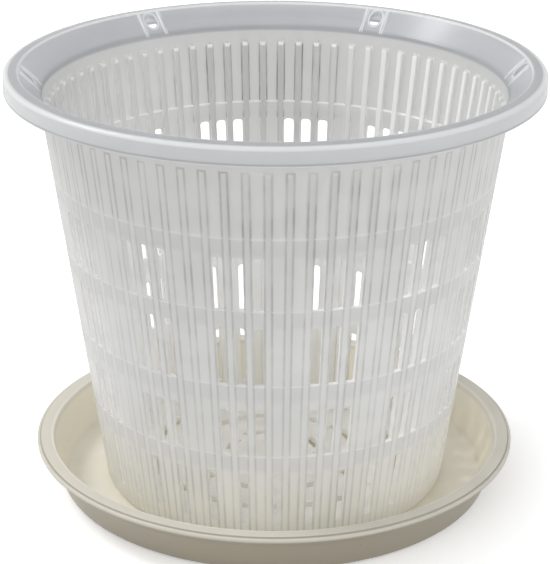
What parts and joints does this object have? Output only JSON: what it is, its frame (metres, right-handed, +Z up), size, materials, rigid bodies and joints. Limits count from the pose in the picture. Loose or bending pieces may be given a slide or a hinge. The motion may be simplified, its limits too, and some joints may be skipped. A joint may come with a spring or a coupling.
{
  "type": "orchid pot",
  "caption": "Slotted, ribbed, tapered orchid pot of milky plastic with a flared rim and hanging holes, standing loose in a shallow round drip saucer.",
  "frame": {"origin": "middle of the saucer's underside, on the surface that the pot stands on", "axes": "+Z up along the axis of the pot and the saucer, -Y towards the front of the picture's view, +X to the right"},
  "size_m": [0.16, 0.16, 0.1328],
  "materials": {
    "saucer_plastic": "satin cream injection-moulded plastic",
    "pot_plastic": "milky translucent injection-moulded plastic"
  },
  "bodies": {
    "saucer": {"saucer": "saucer_plastic"},
    "pot": {"slotted_pot": "pot_plastic"}
  },
  "joints": [
    {"name": "pot_lift", "type": "slide", "parent": "saucer", "child": "pot", "axis": [0, 0, 1], "range_m": [0, 0.06]}
  ]
}
